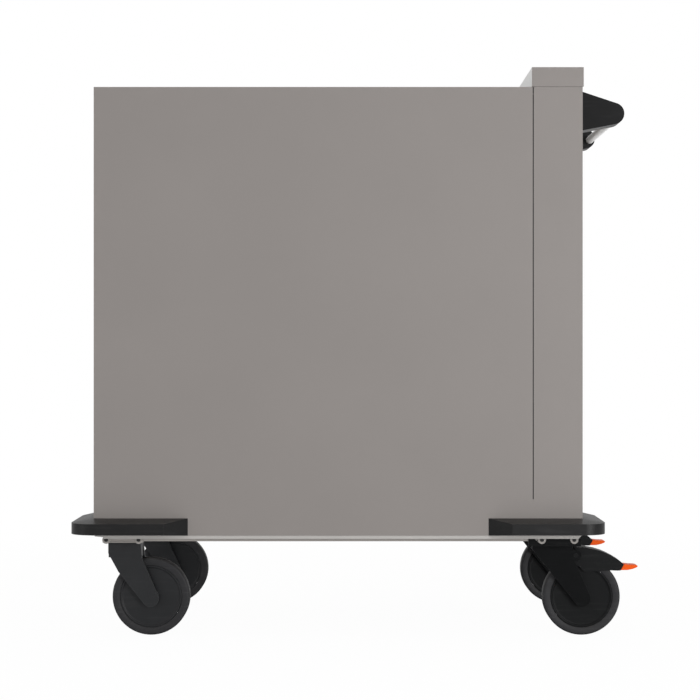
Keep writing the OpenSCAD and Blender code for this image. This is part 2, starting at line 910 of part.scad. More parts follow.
// Ring turned about the axle line from the half outline of its section, inner radius first
module turned_on_axle(half) {
  count = len(half);
  other = [for (i = [1 : count]) [half[count - i][0], -half[count - i][1]]];
  translate([trail, 0, wheel_r]) rotate([90, 0, 0])
    rotate_extrude($fn = wheel_facets) polygon(concat(half, other));
}

module wheel_core() {
  bore = axle_r + fit_gap;
  color(disc_grey) turned_on_axle(concat([[bore, disc_half[0][1]]], disc_half));
}

module tyre() {
  color(tyre_grey) turned_on_axle(tyre_half);
}

// Hood open below, solid at its outer end, with a cross bar and two trunnions
module brake_pedal() {
  inner = pedal_inner_half;
  color(plastic_black) union() {
    difference() {
      side_plate(-pedal_half, pedal_half) polygon(pedal_hood);
      side_plate(-inner, inner) difference() {
        translate([0, -pedal_shell_t]) union() {
          polygon(pedal_hood);
          translate(pedal_hollow[0]) square(pedal_hollow[1] - pedal_hollow[0]);
        }
        translate([pedal_solid_u, 0]) square(pedal_root);
      }
      side_plate(-inner, inner)
        translate(pedal_throat[0]) square(pedal_throat[1] - pedal_throat[0]);
    }
    side_plate(-inner - over, inner + over)
      translate(pedal_cross_bar[0]) square(pedal_cross_bar[1] - pedal_cross_bar[0]);
    rod_y(pivot_u, pivot_z, trunnion_r, pedal_half - over, fork_w / 2 - trunnion_play);
    rod_y(pivot_u, pivot_z, trunnion_r, trunnion_play - fork_w / 2, over - pedal_half);
  }
}

// Bright tread at the end of the pedal
module pedal_tip() {
  color("orangered") side_plate(-tread_half, tread_half) polygon(pedal_tread);
}

chassis_rail(-1);  // near_chassis_rail
chassis_rail(1);  // far_chassis_rail
base_deck();
near_side_panel();
door_side_frame();
front_end_panel();
push_end_panel();
console_partition();
worktop();
shelf(lower_shelf_z);  // lower_shelf
shelf(upper_shelf_z);  // upper_shelf
shelf_bearers();
at_near_front() corner_bumper();  // near_front_bumper
at_near_push() corner_bumper();  // near_push_bumper
at_far_front() corner_bumper();  // far_front_bumper
at_far_push() corner_bumper();  // far_push_bumper
body_screws();
handle_bracket();  // near_handle_bracket
mirror([0, 1, 0]) handle_bracket();  // far_handle_bracket
push_bar();
at_caster(front_x, -1) caster_plate();  // near_front_caster_plate
at_caster(front_x, 1) caster_plate();  // far_front_caster_plate
at_caster(push_x, -1) caster_plate();  // near_push_caster_plate
at_caster(push_x, 1) caster_plate();  // far_push_caster_plate
caster_covers();
caster_screws();
hinge_leaves();
hinge_pins();
console_lid();
lid_hinge_flap();
door_pan();  // front_door
hinge_half(1, [1]);  // front_door_hinge_flaps
door_pull();  // front_door_pull
lock_barrel();  // front_lock_barrel
lock_cam();  // front_lock_cam
mirrored_about_post() door_pan();  // push_door
mirrored_about_post() hinge_half(1, [1]);  // push_door_hinge_flaps
mirrored_about_post() door_pull();  // push_door_pull
mirrored_about_post() lock_barrel();  // push_lock_barrel
mirrored_about_post() lock_cam();  // push_lock_cam
at_caster(front_x, -1) caster_fork(false);  // near_front_fork
at_caster(front_x, -1) wheel_core();  // near_front_wheel
at_caster(front_x, -1) tyre();  // near_front_tyre
at_caster(front_x, 1) caster_fork(false);  // far_front_fork
at_caster(front_x, 1) wheel_core();  // far_front_wheel
at_caster(front_x, 1) tyre();  // far_front_tyre
at_caster(push_x, -1) caster_fork(true);  // near_push_fork
at_caster(push_x, -1) wheel_core();  // near_push_wheel
at_caster(push_x, -1) tyre();  // near_push_tyre
at_caster(push_x, -1) brake_pedal();  // near_push_pedal
at_caster(push_x, -1) pedal_tip();  // near_push_pedal_tip
at_caster(push_x, 1) caster_fork(true);  // far_push_fork
at_caster(push_x, 1) wheel_core();  // far_push_wheel
at_caster(push_x, 1) tyre();  // far_push_tyre
at_caster(push_x, 1) brake_pedal();  // far_push_pedal
at_caster(push_x, 1) pedal_tip();  // far_push_pedal_tip
at_caster(front_x, -1) axle();  // near_front_axle
at_caster(front_x, 1) axle();  // far_front_axle
at_caster(push_x, -1) axle();  // near_push_axle
at_caster(push_x, 1) axle();  // far_push_axle
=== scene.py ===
import json
import math

import bmesh
import bpy
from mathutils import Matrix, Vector


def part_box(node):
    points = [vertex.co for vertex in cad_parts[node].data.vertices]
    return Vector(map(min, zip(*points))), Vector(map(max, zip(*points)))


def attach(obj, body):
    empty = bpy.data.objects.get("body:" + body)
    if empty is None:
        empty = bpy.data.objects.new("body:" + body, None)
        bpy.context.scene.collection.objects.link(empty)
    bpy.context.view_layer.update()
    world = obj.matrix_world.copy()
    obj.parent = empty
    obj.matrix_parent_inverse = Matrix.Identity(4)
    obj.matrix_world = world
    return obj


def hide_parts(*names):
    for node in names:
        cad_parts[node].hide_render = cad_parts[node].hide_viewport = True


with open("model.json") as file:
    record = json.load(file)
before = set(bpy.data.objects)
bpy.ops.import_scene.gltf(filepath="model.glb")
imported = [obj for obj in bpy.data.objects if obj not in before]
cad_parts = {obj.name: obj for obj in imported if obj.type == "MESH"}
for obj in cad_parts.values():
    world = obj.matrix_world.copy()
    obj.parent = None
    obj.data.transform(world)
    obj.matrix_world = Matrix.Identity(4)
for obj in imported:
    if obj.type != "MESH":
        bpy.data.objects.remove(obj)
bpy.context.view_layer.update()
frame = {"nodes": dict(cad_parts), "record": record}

# ---- Camera ----
# Level with the middle of the cupboard and square on to the closed side,
# a little over three metres away.
near_side_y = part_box("near_side_panel")[0].y
lens_height = 0.553
lens_stand_off = 3.282
lens_x = -0.0134
lens_mm = 88.28
sensor_mm = 36.0

camera_data = bpy.data.cameras.new("camera")
camera_data.sensor_width = sensor_mm
camera_data.lens = lens_mm
camera = bpy.data.objects.new("camera", camera_data)
camera.location = (lens_x, near_side_y - lens_stand_off, lens_height)
camera.rotation_euler = (math.radians(90), 0, 0)
bpy.context.scene.collection.objects.link(camera)
bpy.context.scene.camera = camera
bpy.context.scene.view_settings.view_transform = "Standard"


# ---- Studio ----
# A white room: an even white surround, a wide soft lamp to the right of the camera, a
# weaker one to the left and one overhead, and a pale floor that keeps a light shadow.
def shader_nodes(tree):
    """Adds one node of a kind to a shader tree and sets its plain properties."""
    def add(kind, **settings):
        made = tree.nodes.new("ShaderNode" + kind)
        for key, value in settings.items():
            setattr(made, key, value)
        return made
    return add


def seen_directly(tree):
    """1 where a ray comes from the camera or through glass, and 0 everywhere else."""
    add = shader_nodes(tree)
    path = add("LightPath")
    seen = add("Math", operation="ADD", use_clamp=True)
    tree.links.new(path.outputs["Is Camera Ray"], seen.inputs[0])
    tree.links.new(path.outputs["Is Transmission Ray"], seen.inputs[1])
    return seen.outputs[0]


def white_room(surround):
    """Even surround of a given strength that shows as white to the camera."""
    white = (1, 1, 1, 1)
    world = bpy.data.worlds.new("white room")
    world.use_nodes = True
    tree = world.node_tree
    tree.nodes.clear()
    add = shader_nodes(tree)
    lit = add("Background")
    lit.inputs["Color"].default_value = white
    lit.inputs["Strength"].default_value = surround
    shown = add("Background")
    shown.inputs["Color"].default_value = white
    shown.inputs["Strength"].default_value = 1.0
    both = add("MixShader")
    out = add("OutputWorld")
    tree.links.new(seen_directly(tree), both.inputs[0])
    tree.links.new(lit.outputs[0], both.inputs[1])
    tree.links.new(shown.outputs[0], both.inputs[2])
    tree.links.new(both.outputs[0], out.inputs["Surface"])
    bpy.context.scene.world = world


def soft_lamp(name, place, aim, width, watts):
    """Square area lamp that faces a point."""
    data = bpy.data.lights.new(name, "AREA")
    data.shape = "SQUARE"
    data.size = width
    data.energy = watts
    lamp = bpy.data.objects.new(name, data)
    lamp.location = place
    lamp.rotation_euler = (Vector(aim) - Vector(place)).to_track_quat("-Z", "Y").to_euler()
    bpy.context.scene.collection.objects.link(lamp)


def pale_floor(half, tone, shadow, fade_from, fade_to):
    """Floor that shows white to the camera but for a share of its true shading near the cart."""
    mesh = bpy.data.meshes.new("floor")
    corners = [(-half, -half, 0), (half, -half, 0), (half, half, 0), (-half, half, 0)]
    mesh.from_pydata(corners, [], [(0, 1, 2, 3)])
    floor = bpy.data.objects.new("floor", mesh)
    bpy.context.scene.collection.objects.link(floor)
    material = bpy.data.materials.new("pale floor")
    material.use_nodes = True
    tree = material.node_tree
    tree.nodes.clear()
    add = shader_nodes(tree)
    place = add("TexCoord")
    reach = add("VectorMath", operation="LENGTH")
    near = add("MapRange", interpolation_type="SMOOTHSTEP")
    near.inputs["From Min"].default_value = fade_from
    near.inputs["From Max"].default_value = fade_to
    near.inputs["To Min"].default_value = 1.0 - shadow
    near.inputs["To Max"].default_value = 1.0
    share = add("Math", operation="MULTIPLY")
    pale = add("BsdfDiffuse")
    pale.inputs["Color"].default_value = (tone, tone, tone, 1)
    glow = add("Emission")
    both = add("MixShader")
    out = add("OutputMaterial")
    tree.links.new(place.outputs["Object"], reach.inputs[0])
    tree.links.new(reach.outputs["Value"], near.inputs["Value"])
    tree.links.new(near.outputs[0], share.inputs[0])
    tree.links.new(seen_directly(tree), share.inputs[1])
    tree.links.new(share.outputs[0], both.inputs[0])
    tree.links.new(pale.outputs[0], both.inputs[1])
    tree.links.new(glow.outputs[0], both.inputs[2])
    tree.links.new(both.outputs[0], out.inputs["Surface"])
    mesh.materials.append(material)


white_room(surround=0.725)
soft_lamp("lamp right of the camera", (2.6, -3.8, 0.8), (0.1, 0, 0.4), width=1.5, watts=88)
soft_lamp("lamp left of the camera", (-3.2, -2.4, 0.8), (0, 0, 0.4), width=1.5, watts=14)
soft_lamp("lamp overhead", (0.2, -0.8, 3.6), (0.1, 0, 1.0), width=2.4, watts=12)
pale_floor(half=30.0, tone=0.95, shadow=0.03, fade_from=0.9, fade_to=2.2)


# ---- Chassis rails ----
# Two long channels of folded sheet with rolled lower corners, powder-coated grey,
# that carry the deck above and the casters below.
body_of = {}
for body, members in frame["record"]["behaviour"]["bodies"].items():
    for member in members:
        body_of[member] = body


def paint(red, green, blue):
    """Colour as the eye names it, 0 to 255 a channel, turned to the shader's linear scale."""
    def linear(channel):
        share = channel / 255
        return share / 12.92 if share <= 0.04045 else ((share + 0.055) / 1.055) ** 2.4
    return (linear(red), linear(green), linear(blue), 1.0)


def merged_copy(node):
    """The node's own shape as clean mesh: corners merged and flat triangles joined."""
    mesh = frame["nodes"][node].data.copy()
    mesh.materials.clear()
    shape = bmesh.new()
    shape.from_mesh(mesh)
    bmesh.ops.remove_doubles(shape, verts=shape.verts, dist=2e-6)
    bmesh.ops.dissolve_limit(
        shape, angle_limit=math.radians(0.6), verts=shape.verts, edges=shape.edges
    )
    bmesh.ops.recalc_face_normals(shape, faces=shape.faces)
    shape.to_mesh(mesh)
    shape.free()
    piece = bpy.data.objects.new(node + "_made", mesh)
    bpy.context.scene.collection.objects.link(piece)
    return piece


def ease_edges(piece, radius, steps, sharper_than):
    """Rounds the edges as folding, moulding or filing leaves them, and keeps flats flat."""
    bevel = piece.modifiers.new("eased edges", "BEVEL")
    bevel.width = radius
    bevel.segments = steps
    bevel.limit_method = "ANGLE"
    bevel.angle_limit = math.radians(sharper_than)
    flats = piece.modifiers.new("flat faces", "WEIGHTED_NORMAL")
    flats.keep_sharp = True
    for face in piece.data.polygons:
        face.use_smooth = True


def fit(piece, material, *nodes):
    """Finishes a piece and puts it in the place of its nodes, on the body they are part of."""
    piece.data.materials.clear()
    piece.data.materials.append(material)
    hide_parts(*nodes)
    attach(piece, body_of[nodes[0]])


def finished(node, material, radius, steps=3, sharper_than=35):
    """A node's own shape with eased edges and its material, in the node's place."""
    piece = merged_copy(node)
    ease_edges(piece, radius, steps, sharper_than)
    fit(piece, material, node)
    return piece


def finish_group(name, inputs, outputs):
    """Empty shader group with named inputs, (kind, value) each, and named outputs."""
    tree = bpy.data.node_groups.new(name, "ShaderNodeTree")
    for key, (kind, value) in inputs.items():
        socket = tree.interface.new_socket(key, in_out="INPUT", socket_type="NodeSocket" + kind)
        socket.default_value = value
    for key, kind in outputs.items():
        tree.interface.new_socket(key, in_out="OUTPUT", socket_type="NodeSocket" + kind)
    return tree, tree.nodes.new("NodeGroupInput"), tree.nodes.new("NodeGroupOutput")


def noise_on_surface(tree, size, detail, stretch=None):
    """Noise in the piece's own space; size is the width of its spots in metres."""
    add = shader_nodes(tree)
    place = add("TexCoord")
    spots = add("TexNoise")
    spots.inputs["Detail"].default_value = detail
    spots.inputs["Scale"].default_value = 1.0 / size
    if stretch:
        turn = add("Mapping")
        turn.inputs["Scale"].default_value = stretch
        tree.links.new(place.outputs["Object"], turn.inputs["Vector"])
        tree.links.new(turn.outputs["Vector"], spots.inputs["Vector"])
    else:
        tree.links.new(place.outputs["Object"], spots.inputs["Vector"])
    return spots.outputs["Fac"]


def ranged(tree, value, low, high, start=0.3, stop=0.7):
    """Maps a value that runs from start to stop onto low to high; each may be a socket."""
    made = shader_nodes(tree)("MapRange")
    sources = {"From Min": start, "From Max": stop, "To Min": low, "To Max": high}
    tree.links.new(value, made.inputs["Value"])
    for key, source in sources.items():
        if isinstance(source, (int, float)):
            made.inputs[key].default_value = source
        else:
            tree.links.new(source, made.inputs[key])
    return made.outputs[0]


def sum_of(tree, *values, operation="ADD"):
    """Adds, multiplies or compares values in turn; each may be a socket or a number."""
    total = values[0]
    for value in values[1:]:
        step = shader_nodes(tree)("Math", operation=operation)
        for place, source in enumerate((total, value)):
            if isinstance(source, (int, float)):
                step.inputs[place].default_value = source
            else:
                tree.links.new(source, step.inputs[place])
        total = step.outputs[0]
    return total


def shaded(tree, colour, factor):
    """Colour times a grey factor, both sockets."""
    step = shader_nodes(tree)("VectorMath", operation="SCALE")
    tree.links.new(colour, step.inputs[0])
    tree.links.new(factor, step.inputs["Scale"])
    return step.outputs[0]


def blended(tree, share, first, second):
    """Colour between two: first at share 0 and second at share 1."""
    step = shader_nodes(tree)("Mix", data_type="RGBA")
    for place, source in ((0, share), (6, first), (7, second)):
        if isinstance(source, (int, float, tuple)):
            step.inputs[place].default_value = source
        else:
            tree.links.new(source, step.inputs[place])
    return step.outputs[2]


def powder_coat_group():
    """Baked powder coat: slow drift of tone, fine orange peel, a little speckle."""
    tree, given, made = finish_group(
        "powder coat",
        {
            "Colour": ("Color", (0.5, 0.5, 0.5, 1)),
            "Gloss Loss": ("Float", 0.42),
            "Drift": ("Float", 0.016),
        },
        {"Colour": "Color", "Roughness": "Float", "Height": "Float"},
    )
    drift = noise_on_surface(tree, size=0.22, detail=2.0)
    patches = noise_on_surface(tree, size=0.018, detail=3.0)
    peel = noise_on_surface(tree, size=0.0011, detail=2.0)
    down = sum_of(tree, 1.0, given.outputs["Drift"], operation="SUBTRACT")
    up = sum_of(tree, 1.0, given.outputs["Drift"])
    tone = sum_of(
        tree, ranged(tree, drift, down, up), ranged(tree, peel, 0.985, 1.015), operation="MULTIPLY"
    )
    rough = sum_of(
        tree,
        given.outputs["Gloss Loss"],
        ranged(tree, patches, -0.012, 0.012),
        ranged(tree, peel, -0.03, 0.03),
    )
    tree.links.new(shaded(tree, given.outputs["Colour"], tone), made.inputs["Colour"])
    tree.links.new(rough, made.inputs["Roughness"])
    tree.links.new(peel, made.inputs["Height"])
    return tree


def edge_wear_and_highlight_group():
    """Share of lightening along the edges, found where a wide bevel turns the face: patchy rubbing
    wear, and with Evenness set, an unbroken painted highlight.
    """
    tree, given, made = finish_group(
        "edge wear and rim highlight",
        {"Width": ("Float", 0.001), "Amount": ("Float", 0.5), "Evenness": ("Float", 0.0)},
        {"Wear And Highlight": "Float"},
    )
    add = shader_nodes(tree)
    rounded = add("Bevel", samples=6)
    surface = add("NewGeometry")
    agree = add("VectorMath", operation="DOT_PRODUCT")
    tree.links.new(given.outputs["Width"], rounded.inputs["Radius"])
    tree.links.new(rounded.outputs[0], agree.inputs[0])
    tree.links.new(surface.outputs["Normal"], agree.inputs[1])
    edge = ranged(tree, agree.outputs["Value"], 1.0, 0.0, start=0.86, stop=0.995)
    patches = noise_on_surface(tree, size=0.006, detail=4.0)
    broken = ranged(tree, patches, 0.0, 1.0, start=0.42, stop=0.62)
    cover = sum_of(tree, broken, given.outputs["Evenness"], operation="MAXIMUM")
    wear_and_highlight = sum_of(tree, edge, cover, given.outputs["Amount"], operation="MULTIPLY")
    tree.links.new(wear_and_highlight, made.inputs["Wear And Highlight"])
    return tree


def floor_dust_group():
    """Share of dust: thin on faces that look up, thicker towards the floor."""
    tree, given, made = finish_group("floor dust", {"Amount": ("Float", 0.3)}, {"Dust": "Float"})
    add = shader_nodes(tree)
    place = add("TexCoord")
    upright = add("SeparateXYZ")
    height = add("SeparateXYZ")
    tree.links.new(place.outputs["Normal"], upright.inputs[0])
    tree.links.new(place.outputs["Object"], height.inputs[0])
    facing_up = ranged(tree, upright.outputs["Z"], 0.1, 1.0, start=0.0, stop=1.0)
    low_down = ranged(tree, height.outputs["Z"], 1.0, 0.25, start=0.0, stop=0.9)
    spots = ranged(tree, noise_on_surface(tree, size=0.012, detail=5.0), 0.2, 1.0)
    dust = sum_of(
        tree, facing_up, low_down, spots, given.outputs["Amount"], operation="MULTIPLY"
    )
    tree.links.new(dust, made.inputs["Dust"])
    return tree


def placed_group(tree, group, **values):
    """A group node in a material, with its inputs set."""
    made = tree.nodes.new("ShaderNodeGroup")
    made.node_tree = group
    for key, value in values.items():
        made.inputs[key.replace("_", " ").title()].default_value = value
    return made


def surface_shader(material, bump_depth):
    """Clears a material down to its surface shader, with a bump of a given depth in metres."""
    material.use_nodes = True
    tree = material.node_tree
    tree.nodes.clear()
    add = shader_nodes(tree)
    shader = add("BsdfPrincipled")
    out = add("OutputMaterial")
    bump = add("Bump")
    bump.inputs["Strength"].default_value = 1.0
    bump.inputs["Distance"].default_value = bump_depth
    tree.links.new(bump.outputs[0], shader.inputs["Normal"])
    tree.links.new(shader.outputs[0], out.inputs["Surface"])
    return tree, shader, bump


powder_coat = powder_coat_group()
edge_wear_and_highlight = edge_wear_and_highlight_group()
floor_dust = floor_dust_group()


def coated_sheet(name, colour, gloss_loss, wear_and_highlight, dust=0.06):
    """Powder-coated sheet metal, thinner and lighter along its edges, with a little dust."""
    material = bpy.data.materials.new(name)
    tree, shader, bump = surface_shader(material, bump_depth=0.00002)
    coat = placed_group(tree, powder_coat, colour=colour, gloss_loss=gloss_loss)
    worn_and_highlit = placed_group(tree, edge_wear_and_highlight, width=0.0014, amount=wear_and_highlight)
    dusty = placed_group(tree, floor_dust, amount=dust)
    rubbed_and_highlit = blended(tree, worn_and_highlit.outputs["Wear And Highlight"], coat.outputs["Colour"], paint(188, 184, 180))
    dusted = blended(tree, dusty.outputs["Dust"], rubbed_and_highlit, paint(196, 190, 182))
    tree.links.new(dusted, shader.inputs["Base Color"])
    tree.links.new(coat.outputs["Roughness"], shader.inputs["Roughness"])
    tree.links.new(coat.outputs["Height"], bump.inputs["Height"])
    shader.inputs["Specular IOR Level"].default_value = 0.35
    return material


rail_paint = coated_sheet("rail paint", paint(144, 140, 136), gloss_loss=0.42, wear_and_highlight=0.2)
for node in ("near_chassis_rail", "far_chassis_rail"):
    finished(node, rail_paint, radius=0.0004)


# ---- Deck, shelves and bearers ----
# Folded steel pans: the deck closes the bottom and both shelves lift out. They rest on
# zinc-plated angle strips that are screwed to the end panel and to the partition.
def zinc_plate(name, tone):
    """Bright zinc: soft crystalline patches and faint drawing lines."""
    material = bpy.data.materials.new(name)
    tree, shader, bump = surface_shader(material, bump_depth=0.00003)
    patches = noise_on_surface(tree, size=0.004, detail=4.0)
    lines = noise_on_surface(tree, size=0.0012, detail=3.0, stretch=(0.06, 1.0, 1.0))
    light = sum_of(
        tree, ranged(tree, patches, 0.9, 1.08), ranged(tree, lines, 0.95, 1.05),
        operation="MULTIPLY",
    )
    base = shader_nodes(tree)("RGB")
    base.outputs[0].default_value = tone
    tree.links.new(shaded(tree, base.outputs[0], light), shader.inputs["Base Color"])
    tree.links.new(ranged(tree, patches, 0.24, 0.42), shader.inputs["Roughness"])
    tree.links.new(lines, bump.inputs["Height"])
    shader.inputs["Metallic"].default_value = 0.9
    return material


inner_paint = coated_sheet("inner paint", paint(170, 167, 164), gloss_loss=0.46, wear_and_highlight=0.15)
zinc = zinc_plate("zinc plate", paint(178, 179, 180))
for node, radius in (("base_deck", 0.0008), ("lower_shelf", 0.0006), ("upper_shelf", 0.0006)):
    finished(node, inner_paint, radius)
finished("shelf_bearers", zinc, radius=0.0004)


# ---- Body panels ----
# The closed side, the door side with its two framed openings, and the two end panels:
# folded sheet steel in warm grey powder coat.
body_paint = coated_sheet("warm grey paint", paint(127, 122, 119), gloss_loss=0.44, wear_and_highlight=0.12)
for node in ("near_side_panel", "door_side_frame", "front_end_panel", "push_end_panel"):
    finished(node, body_paint, radius=0.0006)


# ---- Partition and worktop ----
# The light grey upright board beside the console and the worktop board, both faced with
# fine-grained laminate. The upright board's end faces are black: painted shade, so that the
# slits in the side panels in front of them read dark.
def laminate(name, colour):
    """Matt laminate with a fine printed speckle and a faint pebble grain."""
    material = bpy.data.materials.new(name)
    tree, shader, bump = surface_shader(material, bump_depth=0.00003)
    speckle = noise_on_surface(tree, size=0.0016, detail=2.0)
    cloud = noise_on_surface(tree, size=0.12, detail=2.0)
    pebble = noise_on_surface(tree, size=0.0007, detail=3.0)
    light = sum_of(
        tree, ranged(tree, speckle, 0.955, 1.03), ranged(tree, cloud, 0.985, 1.015),
        operation="MULTIPLY",
    )
    base = shader_nodes(tree)("RGB")
    base.outputs[0].default_value = colour
    tree.links.new(shaded(tree, base.outputs[0], light), shader.inputs["Base Color"])
    tree.links.new(ranged(tree, cloud, 0.46, 0.58), shader.inputs["Roughness"])
    tree.links.new(pebble, bump.inputs["Height"])
    return material


light_laminate = laminate("light grey laminate", paint(225, 225, 224))
# Painted shade: black laminate for the partition's end faces, so the slits in front of them read
# dark.
slit_shade_band = laminate("painted slit shade band", paint(48, 48, 48))
edge_facing = 0.9
partition = finished("console_partition", light_laminate, radius=0.0006)
# Faces that look along Y, the ends behind the slits, get the painted shade.
partition.data.materials.append(slit_shade_band)
for face in partition.data.polygons:
    if abs(face.normal.y) > edge_facing:
        face.material_index = 1
finished("worktop", light_laminate, radius=0.001)


# ---- Corner bumpers ----
# Four solid corner buffers of black grained elastomer, with soft edges and tapered ends,
# screwed on from inside.
def grain_group():
    """Spark-eroded mould grain with a few paler scuffs."""
    tree, given, made = finish_group(
        "mould grain",
        {
            "Colour": ("Color", (0.02, 0.02, 0.02, 1)),
            "Gloss Loss": ("Float", 0.5),
            "Scuffs": ("Float", 0.1),
        },
        {"Colour": "Color", "Roughness": "Float", "Height": "Float"},
    )
    grain = noise_on_surface(tree, size=0.0006, detail=3.0)
    cloud = noise_on_surface(tree, size=0.03, detail=3.0)
    rubs = noise_on_surface(tree, size=0.02, detail=5.0, stretch=(0.25, 1.0, 3.0))
    scuff = sum_of(
        tree, ranged(tree, rubs, 0.0, 1.0, start=0.56, stop=0.74), given.outputs["Scuffs"],
        operation="MULTIPLY",
    )
    tone = sum_of(
        tree, ranged(tree, grain, 0.88, 1.12), ranged(tree, cloud, 0.92, 1.08),
        operation="MULTIPLY",
    )
    base = shaded(tree, given.outputs["Colour"], tone)
    colour = blended(tree, scuff, base, paint(92, 92, 92))
    rough = sum_of(tree, given.outputs["Gloss Loss"], ranged(tree, grain, -0.06, 0.06), scuff)
    tree.links.new(colour, made.inputs["Colour"])
    tree.links.new(rough, made.inputs["Roughness"])
    tree.links.new(grain, made.inputs["Height"])
    return tree


mould_grain = grain_group()


def moulding(name, colour, gloss_loss, scuffs, specular, wear_and_highlight, even=0.0, dust=0.1):
    """Moulded plastic or rubber: grain, scuffs, edges rubbed lighter, and some floor dust; where
    even is set, the light edge band runs unbroken as a painted highlight.
    """
    material = bpy.data.materials.new(name)
    tree, shader, bump = surface_shader(material, bump_depth=0.00006)
    grain = placed_group(tree, mould_grain, colour=colour, gloss_loss=gloss_loss, scuffs=scuffs)
    worn_and_highlit = placed_group(tree, edge_wear_and_highlight, width=0.002, amount=wear_and_highlight, evenness=even)
    dusty = placed_group(tree, floor_dust, amount=dust)
    # Edges lighter from rubbing; where even is set, an unbroken painted highlight along them.
    rubbed_and_highlit = blended(tree, worn_and_highlit.outputs["Wear And Highlight"], grain.outputs["Colour"], paint(88, 88, 88))
    dusted = blended(tree, dusty.outputs["Dust"], rubbed_and_highlit, paint(128, 124, 118))
    tree.links.new(dusted, shader.inputs["Base Color"])
    tree.links.new(grain.outputs["Roughness"], shader.inputs["Roughness"])
    tree.links.new(grain.outputs["Height"], bump.inputs["Height"])
    shader.inputs["Specular IOR Level"].default_value = specular
    return material


bumper_black = moulding(
    "bumper elastomer", paint(15, 15, 16), gloss_loss=0.38, scuffs=0.06, specular=0.24, wear_and_highlight=0.05
)
for node in ("near_front_bumper", "near_push_bumper", "far_front_bumper", "far_push_bumper"):
    finished(node, bumper_black, radius=0.0035, steps=4, sharper_than=30)


# ---- Screws and rivets ----
# Screw heads with a driver socket, set by one tree wherever the cart has them, and
# flat-headed blind rivets along the end panels.
def geometry_nodes(tree):
    """Adds one node of a kind to a geometry tree and sets its plain properties."""
    def add(kind, **settings):
        made = tree.nodes.new(kind)
        for key, value in settings.items():
            setattr(made, key, value)
        return made
    return add


def head_tree():
    """Button heads with a socket, one on each point, turned along the point's facing."""
    tree = bpy.data.node_groups.new("fastener heads", "GeometryNodeTree")
    tree.interface.new_socket("Geometry", in_out="INPUT", socket_type="NodeSocketGeometry")
    for key in ("Head Radius", "Head Height", "Socket Share"):
        tree.interface.new_socket(key, in_out="INPUT", socket_type="NodeSocketFloat")
    tree.interface.new_socket("Metal", in_out="INPUT", socket_type="NodeSocketMaterial")
    tree.interface.new_socket("Geometry", in_out="OUTPUT", socket_type="NodeSocketGeometry")
    add = geometry_nodes(tree)
    join = tree.links.new
    given = add("NodeGroupInput")
    out = add("NodeGroupOutput")

    def share_of(socket, share):
        step = add("ShaderNodeMath", operation="MULTIPLY")
        join(socket, step.inputs[0])
        step.inputs[1].default_value = share
        return step.outputs[0]

    def drawn_out(mesh, face, rise, narrow):
        """Raises a face along the head's axis and narrows it."""
        raised = add("GeometryNodeExtrudeMesh", mode="FACES")
        join(mesh, raised.inputs["Mesh"])
        join(face, raised.inputs["Selection"])
        join(rise, raised.inputs["Offset Scale"])
        shrunk = add("GeometryNodeScaleElements", domain="FACE")
        join(raised.outputs["Mesh"], shrunk.inputs["Geometry"])
        join(raised.outputs["Top"], shrunk.inputs["Selection"])
        if isinstance(narrow, float):
            shrunk.inputs["Scale"].default_value = narrow
        else:
            join(narrow, shrunk.inputs["Scale"])
        return shrunk.outputs["Geometry"], raised.outputs["Top"]

    sides = 24
    rim = add("GeometryNodeMeshCylinder", fill_type="NGON")
    rim.inputs["Vertices"].default_value = sides
    join(given.outputs["Head Radius"], rim.inputs["Radius"])
    join(share_of(given.outputs["Head Height"], 0.9), rim.inputs["Depth"])
    height = given.outputs["Head Height"]
    mesh, face = drawn_out(rim.outputs["Mesh"], rim.outputs["Top"], share_of(height, 0.32), 0.9)
    mesh, face = drawn_out(mesh, face, share_of(height, 0.2), 0.78)
    mesh, face = drawn_out(mesh, face, share_of(height, 0.0), given.outputs["Socket Share"])
    mesh, face = drawn_out(mesh, face, share_of(height, -0.75), 0.92)
    facing = add("GeometryNodeInputNamedAttribute", data_type="FLOAT_VECTOR")
    facing.inputs["Name"].default_value = "facing"
    turn = add("FunctionNodeAlignRotationToVector", axis="Z")
    join(facing.outputs["Attribute"], turn.inputs["Vector"])
    each = add("GeometryNodeInstanceOnPoints")
    join(given.outputs["Geometry"], each.inputs["Points"])
    join(mesh, each.inputs["Instance"])
    join(turn.outputs["Rotation"], each.inputs["Rotation"])
    real = add("GeometryNodeRealizeInstances")
    join(each.outputs["Instances"], real.inputs["Geometry"])
    metal = add("GeometryNodeSetMaterial")
    join(real.outputs["Geometry"], metal.inputs["Geometry"])
    join(given.outputs["Metal"], metal.inputs["Material"])
    join(metal.outputs["Geometry"], out.inputs["Geometry"])
    return tree


fastener_heads = head_tree()


def grown(name, points, tree, values):
    """Runs a tree on a set of (place, facing) points and returns the result as a plain piece."""
    seats = bpy.data.meshes.new(name)
    seats.from_pydata([place for place, _ in points], [], [])
    facing = seats.attributes.new("facing", "FLOAT_VECTOR", "POINT")
    for index, (_, direction) in enumerate(points):
        facing.data[index].vector = direction
    holder = bpy.data.objects.new(name + "_seats", seats)
    bpy.context.scene.collection.objects.link(holder)
    growth = holder.modifiers.new("growth", "NODES")
    growth.node_group = tree
    for item in tree.interface.items_tree:
        if item.in_out == "INPUT" and item.name in values:
            growth[item.identifier] = values[item.name]
    depsgraph = bpy.context.evaluated_depsgraph_get()
    mesh = bpy.data.meshes.new_from_object(holder.evaluated_get(depsgraph))
    bpy.data.objects.remove(holder)
    piece = bpy.data.objects.new(name, mesh)
    bpy.context.scene.collection.objects.link(piece)
    return piece


def screw_heads(name, points, radius, height, socket, metal=zinc):
    """Heads on a set of (place, facing) points; socket is its share of the head's width."""
    values = {
        "Head Radius": radius, "Head Height": height, "Socket Share": socket, "Metal": metal,
    }
    return grown(name, points, fastener_heads, values)


